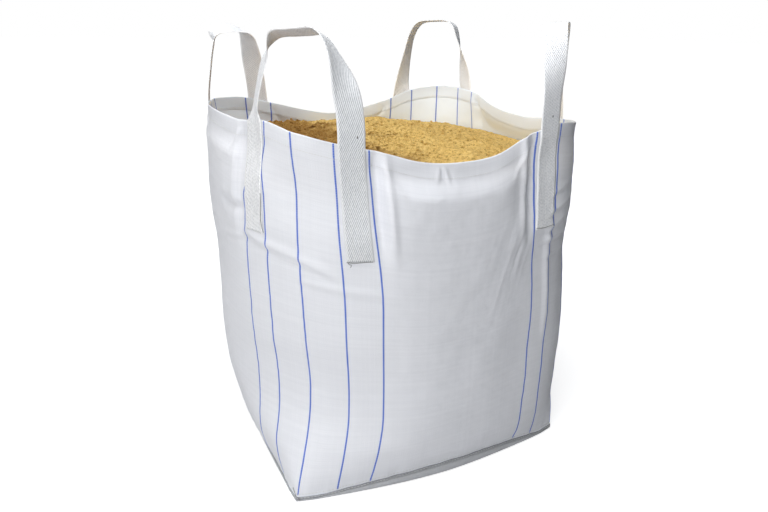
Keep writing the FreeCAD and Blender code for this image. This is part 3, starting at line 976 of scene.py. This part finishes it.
def make_loops():
    for k, corner in enumerate(CORNERS):
        rows = loop_rows(k, corner)
        sections = webbing_sections(rows)
        lengths = distances(rows[:, len(ACROSS) // 2])
        width = (ACROSS + 1) * WEBBING_WIDTH / 2
        girths = np.concatenate([width, width[::-1], width[:1]])
        name = f"{corner}_webbing_loop"
        look = DARKER_WEBBING_LOOK if corner == "front_left" else WEBBING_LOOK
        loop = skin(name, sections, look, lengths=lengths, girths=girths)
        fix_normals(loop)
        faces = (FACES[k], FACES[(k - 1) % 4])
        ends = [f"{corner}_strap_end_on_{face}" for face in faces]
        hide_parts(f"{corner}_lifting_loop", f"{corner}_strap_folds", *ends)
        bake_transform(loop)


STITCH_COLUMNS = (-0.029, -0.0145, 0.0, 0.0145, 0.029)  # across a strap end, from its middle


def make_strap_stitching():
    """Rows of lock stitches down each sewn strap end, joined at head and foot."""
    for k, face in enumerate(FACES):
        first, second = CORNERS[k], CORNERS[(k + 1) % 4]
        stitch_strap(first, face, k * SIDE + STRAP_PLACES[first][1])
        stitch_strap(second, face, (k + 1) * SIDE - STRAP_PLACES[second][0])


def stitch_strap(corner, face, u_middle):
    rim = float(rim_height(np.array([u_middle]))[0])
    low, high = rim - SEWN_LENGTH + 0.006, rim - 0.012
    down = np.linspace(low, high, 120)
    across = np.linspace(u_middle + STITCH_COLUMNS[0], u_middle + STITCH_COLUMNS[-1], 40)
    lines = [(np.full_like(down, u_middle + place), down) for place in STITCH_COLUMNS]
    lines += [(across, np.full_like(across, z)) for z in (low, low + 0.02, high, high - 0.02)]
    seam = Seam()
    for u, z in lines:
        line = on_wall(u + drift(u_middle, z), z, 0.0010 + WEBBING_THICK)
        t = (z.mean() - 0.03) / (rim - 0.03)
        seam.run(line, 0.0078, lambda count, u=u, t=t: from_wall(WALL_NORMALS, np.full(count, u.mean()), t))
    on_bag(seam.make(f"{corner}_lockstitch_on_{face}", 0.0005), "thread", f"{corner}_stitching_on_{face}")


# Loose dark threads on the wall: points (girth, height). Each rises a little off the cloth.
THREAD_TAILS = {
    "front_left_thread_at_front_foot": ((0.131, 0.7065), (0.150, 0.7040), (0.170, 0.7050), (0.198, 0.7065)),
    "front_left_thread_end_at_front_foot": (
        (0.133, 0.7065), (0.138, 0.7010), (0.143, 0.6985), (0.140, 0.6930),
    ),
    "front_left_thread_at_left_foot": ((-0.117, 0.866), (-0.116, 0.830), (-0.118, 0.792), (-0.108, 0.760)),
    "front_right_thread_at_front_foot": ((0.715, 0.7290), (0.735, 0.7265), (0.755, 0.7270), (0.780, 0.7300)),
    "front_left_thread_at_seam": ((-0.020, 0.030), (-0.006, 0.018), (0.004, 0.012), (0.010, 0.004)),
}
KNOTS = (("front_left", -50, 4), ("front_right", 49, 8))  # corner, row along the loop, place across it


def make_thread_tails():
    for name, points in THREAD_TAILS.items():
        u, z = (spline([point[k] for point in points], 30) for k in (0, 1))
        line = on_wall(u, z, np.linspace(0.0036, 0.0052, 30))
        tangent = unit(np.gradient(line, axis=0))
        side = unit(np.cross(tangent, from_wall(WALL_NORMALS, u, 0.7)))
        over = np.cross(side, tangent)
        angles = np.linspace(0, 2 * math.pi, 7)[:-1]
        ring = [side * math.cos(a) + over * math.sin(a) for a in angles]
        sections = np.stack([line + 0.0007 * r for r in ring], 1)
        tail = skin(name, sections, DARK_THREAD_LOOK)
        fix_normals(tail)
        on_bag(tail, "thread")


def make_knots():
    """A dark knot of thread on two of the loops, just above the rim."""
    for corner, row, across in KNOTS:
        rows = loop_rows(CORNERS.index(corner), corner)
        normal = unit(np.cross(rows[row + 1] - rows[row - 1], np.gradient(rows[row], axis=0)))[across]
        if normal[1] > 0:  # the knot is on the side that looks forward
            normal = -normal
        centre = rows[row, across] + normal * (WEBBING_THICK / 2 + 0.0006)
        along = unit(rows[row + 1, across] - rows[row - 1, across]) * 0.003
        knot = add_stitches(
            f"{corner}_thread_knot", np.array([centre - along, centre - along * 0.4]),
            np.array([centre + along, centre + along * 1.3]), np.array([normal, normal]),
            0.0017, DARK_THREAD_LOOK,
        )
        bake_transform(knot)


# ---- marker yarns ----
def yarn_strip(u_middle, inside):
    """Sections of one blue tape from base seam to rim. Inside, it shows on the hem too."""
    n = 180
    low = float(seam_height(np.array([u_middle]))[0]) + 0.012
    high = float(rim_height(np.array([u_middle]))[0]) - 0.0005
    z = np.linspace(low, high, n)
    lift = np.full(n, 0.0002)
    if inside:
        lift = -0.0011 - 0.0008 * smooth(high - z, HEM_DEPTH + 0.004, HEM_DEPTH - 0.001)
    thick = 0.00022
    middle = u_middle + drift(u_middle, z)
    across = np.array([-1, -0.4, 0.4, 1]) * YARN_WIDTH / 2
    top = np.stack([on_wall(middle + a, z, lift + thick) for a in across], 1)
    bottom = np.stack([on_wall(middle + a, z, lift - thick) for a in across[::-1]], 1)
    return np.concatenate([top, bottom], 1)


def make_yarns():
    """Five blue tapes at each corner. Each shows on both faces of the cloth."""
    for k, corner in enumerate(CORNERS):
        before, after = STRAP_PLACES[corner]
        places = [0.0]
        for middle in (-before, after):
            places += [middle - YARN_BESIDE, middle + YARN_BESIDE]
        strips = []
        for place in places:
            for inside in (False, True):
                sections = yarn_strip(k * SIDE + place, inside)
                lengths = distances(sections[:, 0])
                strips.append(skin(f"{corner}_strip", sections, YARN_LOOK, lengths=lengths))
        made = join(f"{corner}_blue_tapes", strips)
        fix_normals(made)
        on_bag(made, "marker_yarn", f"{corner}_marker_yarns")


def join(name, parts):
    """Joins mesh objects into the first one."""
    with bpy.context.temp_override(active_object=parts[0], selected_editable_objects=parts, object=parts[0]):
        bpy.ops.object.join()
    parts[0].name = name
    parts[0].data.name = name
    return parts[0]


# ---- base ----
BASE_LEVEL = 0.0012           # height of the base cloth's underside


def make_base():
    """The base cloth: flat on the floor, with its edge bulging out and up to the seam."""
    u = np.arange(COLUMNS) * GIRTH / COLUMNS
    edge = WALL[0].copy()
    normal = WALL_NORMALS[0].copy()
    normal[:, 2] = 0
    normal /= np.linalg.norm(normal, axis=1, keepdims=True)
    bulge = 0.002 + 0.007 * (edge[:, 2:] - SEAM_AT_CORNER) / SEAM_LIFTS.max()
    rows = []
    for angle in np.linspace(0, math.pi, 9):
        ring = edge + normal * bulge * math.sin(angle)
        ring[:, 2] = BASE_LEVEL + (edge[:, 2] - BASE_LEVEL) * (1 + math.cos(angle)) / 2
        rows.append(ring)
    rim = rows[-1]
    for share in (0.9, 0.7, 0.5, 0.3, 0.1):
        ring = rim * share
        ring[:, 2] = BASE_LEVEL
        rows.append(ring)
    outer = np.stack(rows)
    inner = outer.copy()
    inner[9:, :, 2] += CLOTH
    inner[:9] -= normal[None] * CLOTH
    inner[:9, :, 2] += CLOTH
    sections = np.concatenate([outer, inner[::-1]]).transpose(1, 0, 2)
    lengths = np.append(u, GIRTH)
    steps = np.concatenate([distances(outer[:, 0]), distances(outer[:, 0])[::-1]])
    girths = np.append(steps, 0.0)
    base = skin("base_cloth", sections, BASE_LOOK, ring=True, lengths=lengths, girths=girths)
    fix_normals(base)
    plan_uvs(base)
    on_bag(base, "woven_fabric", "base_panel")
    return base


def plan_uvs(piece):
    """Cloth coordinates from the plan, for a piece that lies flat."""
    mesh = piece.data
    at = np.empty(len(mesh.loops), int)
    mesh.loops.foreach_get("vertex_index", at)
    co = np.empty(len(mesh.vertices) * 3)
    mesh.vertices.foreach_get("co", co)
    mesh.uv_layers["cloth"].data.foreach_set("uv", co.reshape(-1, 3)[at, :2].reshape(-1).astype(np.float32))


def make_base_seam():
    """Folded seam ridge over a filler cord, and its two lines of chain stitches."""
    ridge = [
        (0.0006, -0.0042), (0.0018, -0.0036), (0.0027, -0.0014), (0.0028, 0.0012),
        (0.0020, 0.0034), (0.0006, 0.0042), (-0.0010, 0.0030), (-0.0010, -0.0030),
    ]

    def line(u):
        return seam_height(u) + 0.004 + 0.0016 * FINE(noise_place(u) * 1.5, 21.5)

    # the ridge wears the painted shade of the groove under the belly
    cord = ring_band("base_seam_ridge", ridge, line, SEAM_SHADE_LOOK)
    fix_normals(cord)
    on_bag(cord, "seam_cord", "base_seam_cord")
    u = np.linspace(0, GIRTH, 1441)
    seam = Seam()
    for rise, lift in ((0.0105, 0.0004), (0.0010, 0.0031)):
        points = on_wall(u, line(u) + rise, lift)
        seam.run(points, 0.0095, lambda count: normals_round(count, 0.02), share=0.8)
    on_bag(seam.make("base_seam_chainstitch", 0.0007), "thread", "base_seam_stitching")


# ---- sand ----
LUMPS = Noise(31)
GRIT = Noise(32, 128)
SAND_GAP = 0.0045             # from the wall's outer face to the edge of the heap
SAND_SIDE_GAP = 0.006         # and to the sand's sides, further down


def sand_surface(x, y, share):
    """Height of the heap: mounds, dips, lumps and grit. share is 0 in the middle and 1 at the wall."""
    height = 0.940 - 0.030 * share**2
    height += 0.016 * np.exp(-(((x - 0.02) / 0.22) ** 2) - ((y - 0.20) / 0.16) ** 2)
    height += 0.012 * np.exp(-(((x - 0.24) / 0.14) ** 2) - ((y - 0.02) / 0.15) ** 2)
    height -= 0.014 * np.exp(-(((x + 0.24) / 0.16) ** 2) - ((y + 0.05) / 0.18) ** 2)
    height -= 0.025 * smooth(x, -0.24, -0.42) + 0.018 * smooth(x, 0.22, 0.40)
    height -= 0.012 * np.exp(-(((x - 0.20) / 0.06) ** 2) - ((y - 0.22) / 0.20) ** 2)
    soft = 1 - smooth(share, 0.93, 1.0)
    height += 0.010 * LUMPS.fractal(x * 9 + 20, y * 9 + 20, 3) * soft
    lumps = LUMPS.fractal(x * 42 + 7, y * 42 + 31, 3)
    height += 0.0060 * np.maximum(lumps, -0.2) * (0.45 + 1.9 * smooth(x, -0.05, -0.22)) * soft
    height += 0.0024 * GRIT.fractal(x * 150, y * 150, 2)
    return height


def make_sand():
    """The sand, whole: its heaped top, and its sides inside the walls down to the base."""
    columns = 480
    u = np.arange(columns) * GIRTH / columns
    near_wall = on_wall(u, SAND_LINE, -SAND_GAP)
    level = sand_surface(near_wall[:, 0], near_wall[:, 1], np.ones(columns))
    shore = on_wall(u, level, -SAND_GAP)
    rows = []
    for share in np.linspace(0.004, 1, 150):
        share = share**0.85
        ring = shore * share
        ring[:, 2] = sand_surface(ring[:, 0], ring[:, 1], np.full(columns, share))
        rows.append(ring)
    for height in np.arange(0.86, 0.07, -0.02):
        rows.append(on_wall(u, height, -SAND_SIDE_GAP))
    foot = rows[-1] * np.array([0.92, 0.92, 0])
    foot[:, 2] = 0.006
    rows.append(foot)
    rows.append(foot * np.array([0.004, 0.004, 1]))
    sections = np.stack(rows).transpose(1, 0, 2)
    heap = skin("sand_heap", sections, SAND_LOOK, ring=True)
    fix_normals(heap)
    on_bag(heap, "sand", "sand_fill")
    make_crumbs()


def make_crumbs():
    """Loose crumbs of damp sand lying on the heap, more of them at the left."""
    random = np.random.default_rng(5)
    mesh = bmesh.new()
    bmesh.ops.create_icosphere(mesh, subdivisions=1, radius=1.0)
    template = np.array([v.co for v in mesh.verts])
    triangles = [[v.index for v in f.verts] for f in mesh.faces]
    mesh.free()
    points, faces = [], []
    for k in range(2600):
        left = k % 2
        x = random.uniform(-0.44, 0.05) if left else random.uniform(-0.44, 0.44)
        y = random.uniform(-0.44, 0.44)
        share = max(abs(x), abs(y)) / 0.47
        if share > 0.95 or abs(x) + abs(y) > 0.76:
            continue
        size = random.gamma(2.0, 0.0011) + 0.0012
        rough = template * (1 + random.uniform(-0.28, 0.28, (len(template), 1)))
        turn = np.array(Matrix.Rotation(random.uniform(0, 6.28), 3, Vector(random.normal(size=3))))
        height = sand_surface(np.array([x]), np.array([y]), np.array([share]))[0]
        place = np.array([x, y, height + size * 0.35])
        faces += [[v + len(points) * len(template) for v in t] for t in triangles]
        points.append(rough @ turn * size * np.array([1, 1, 0.8]) + place)
    on_bag(add_mesh("sand_crumbs", np.concatenate(points), faces, SAND_LOOK, soft=False), "sand")


# ---- stage, light and camera ----
FLOOR_GLOW = 0.03


def make_stage():
    """A pale floor that the camera sees nearly white, while it sheds little light on the bag."""
    n = Nodes("studio_floor")
    cloud = n.add("ShaderNodeTexNoise", {"Scale": 0.6, "Detail": 2.0})
    place = n.add("ShaderNodeTexCoord").outputs["Object"]
    away = n.add("ShaderNodeVectorMath", {0: place}, operation="LENGTH").outputs["Value"]
    links = {"Value": away, "From Min": 0.6, "From Max": 2.4, "To Min": 0.76, "To Max": 1.0}
    glow = n.add("ShaderNodeMapRange", links)
    seen = n.add("ShaderNodeLightPath").outputs["Is Camera Ray"]
    strength = n.math("ADD", n.math("MULTIPLY", n.math("SUBTRACT", glow, FLOOR_GLOW), seen), FLOOR_GLOW)
    n.shade({
        "Base Color": n.ramp(cloud, (0.3, (0.54, 0.54, 0.55)), (0.7, (0.57, 0.57, 0.58))),
        "Roughness": 0.9,
        "Emission Color": (1, 1, 1, 1),
        "Emission Strength": strength,
    })
    size = 40.0
    points = np.array([(-size, -size, 0), (size, -size, 0), (size, size, 0), (-size, size, 0)])
    floor = add_mesh("studio_floor", points, [[0, 1, 2, 3]], n.material, soft=False)


def area_light(name, place, target, width, height, watts, colour=(1, 1, 1)):
    light = bpy.data.lights.new(name, "AREA")
    light.shape = "RECTANGLE"
    light.size = width
    light.size_y = height
    light.energy = watts
    light.color = colour
    lamp = bpy.data.objects.new(name, light)
    bpy.context.scene.collection.objects.link(lamp)
    lamp.location = place
    lamp.rotation_euler = (Vector(target) - Vector(place)).to_track_quat("-Z", "Y").to_euler()


def make_lights():
    world = bpy.data.worlds.new("studio")
    bpy.context.scene.world = world
    world.use_nodes = True
    tree = world.node_tree
    back = tree.nodes["Background"]
    back.inputs["Color"].default_value = (0.90, 0.95, 1.0, 1)
    back.inputs["Strength"].default_value = 0.075
    seen = tree.nodes.new("ShaderNodeBackground")
    seen.inputs["Color"].default_value = (1, 1, 1, 1)
    seen.inputs["Strength"].default_value = 1.0
    path = tree.nodes.new("ShaderNodeLightPath")
    mix = tree.nodes.new("ShaderNodeMixShader")
    tree.links.new(path.outputs["Is Camera Ray"], mix.inputs[0])
    tree.links.new(back.outputs[0], mix.inputs[1])
    tree.links.new(seen.outputs[0], mix.inputs[2])
    tree.links.new(mix.outputs[0], tree.nodes["World Output"].inputs["Surface"])
    area_light("key_low_left", (-3.1, -2.3, 1.35), (0, 0, 0.65), 1.5, 1.2, 31)
    area_light("near_left", (-1.3, -2.05, 1.0), (0.0, -0.4, 0.65), 0.6, 0.6, 13)
    area_light("far_left", (-2.7, 1.6, 2.1), (-0.3, 0.1, 0.8), 1.2, 1.2, 26)
    area_light("front_high", (-0.3, -2.6, 3.0), (0, 0.2, 1.0), 1.0, 1.0, 11, (0.95, 0.97, 1.0))
    area_light("top", (-0.5, -0.5, 3.3), (0, 0.1, 0.9), 1.5, 1.5, 76, (0.97, 0.98, 1.0))
    area_light("back", (1.4, 3.6, 1.6), (0.1, 0, 0.7), 1.5, 1.5, 22)


def make_camera():
    """Looks down a little on the front left corner, from the height of the tops of the loops."""
    azimuth, elevation, distance = math.radians(-25.379), math.radians(14.232), 2.2853
    target = Vector((0.085, 0.0288, 0.7491))
    level = math.cos(elevation)
    back = Vector((math.sin(azimuth) * level, -math.cos(azimuth) * level, math.sin(elevation)))
    data = bpy.data.cameras.new("camera")
    data.lens = 30.7
    data.sensor_width = 36.0
    data.shift_x = -0.022
    data.shift_y = -0.0921
    camera = bpy.data.objects.new("camera", data)
    bpy.context.scene.collection.objects.link(camera)
    turn = back.to_track_quat("Z", "Y").to_matrix()
    roll = Matrix.Rotation(math.radians(0.867), 3, "Z")
    camera.matrix_world = Matrix.Translation(target + back * distance) @ (turn @ roll).to_4x4()
    bpy.context.scene.camera = camera


bpy.context.scene.view_settings.view_transform = "Standard"
tube = make_tube()
hem = make_hem()
make_hem_stitching()
base = make_base()
make_base_seam()
make_sand()
make_loops()
make_strap_stitching()
make_thread_tails()
make_knots()
make_yarns()
make_stage()
make_lights()
make_camera()
